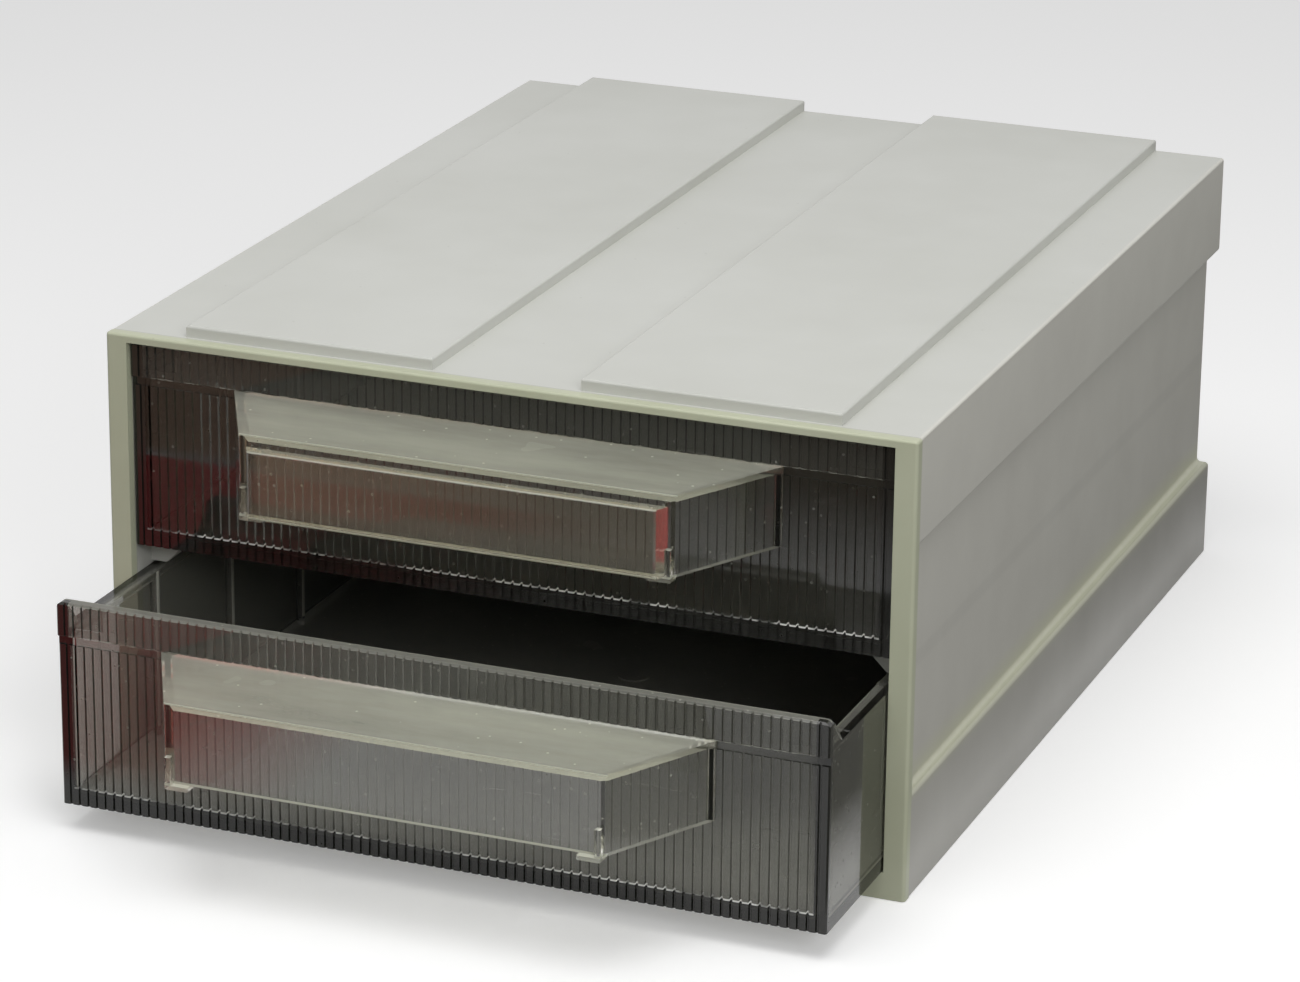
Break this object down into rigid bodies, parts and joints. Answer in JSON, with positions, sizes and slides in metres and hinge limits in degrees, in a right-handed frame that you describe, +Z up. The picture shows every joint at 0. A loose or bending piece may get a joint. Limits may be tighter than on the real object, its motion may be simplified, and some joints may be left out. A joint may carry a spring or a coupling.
{
  "type": "desktop drawer cabinet",
  "caption": "Stackable desktop storage cabinet with reeded smoke-grey pull-out drawers, tapered clear handles and a clear label plate in a light grey housing.",
  "frame": {"origin": "middle of the cabinet's base, on the surface that it stands on", "axes": "+Z up, +X to the right and -Y towards the drawer fronts"},
  "size_m": [0.272, 0.4352, 0.1539],
  "materials": {
    "grey_housing": "satin",
    "smoke_plastic": "gloss, translucent smoke grey",
    "clear_plastic": "gloss, clear, slightly clouded",
    "yellowed_clear_plastic": "gloss, clear, slightly yellowed"
  },
  "bodies": {
    "cabinet": {"cabinet_shell": "grey_housing"},
    "upper": {"upper_drawer": "smoke_plastic", "upper_handle": "clear_plastic", "upper_label_plate": "yellowed_clear_plastic"},
    "lower": {"lower_drawer": "smoke_plastic", "lower_handle": "clear_plastic"}
  },
  "joints": [
    {"name": "upper_drawer_slide", "type": "slide", "parent": "cabinet", "child": "upper", "axis": [0, -1, 0], "range_m": [0, 0.24]},
    {"name": "lower_drawer_slide", "type": "slide", "parent": "cabinet", "child": "lower", "axis": [0, -1, 0], "range_m": [-0.054, 0.186]}
  ]
}
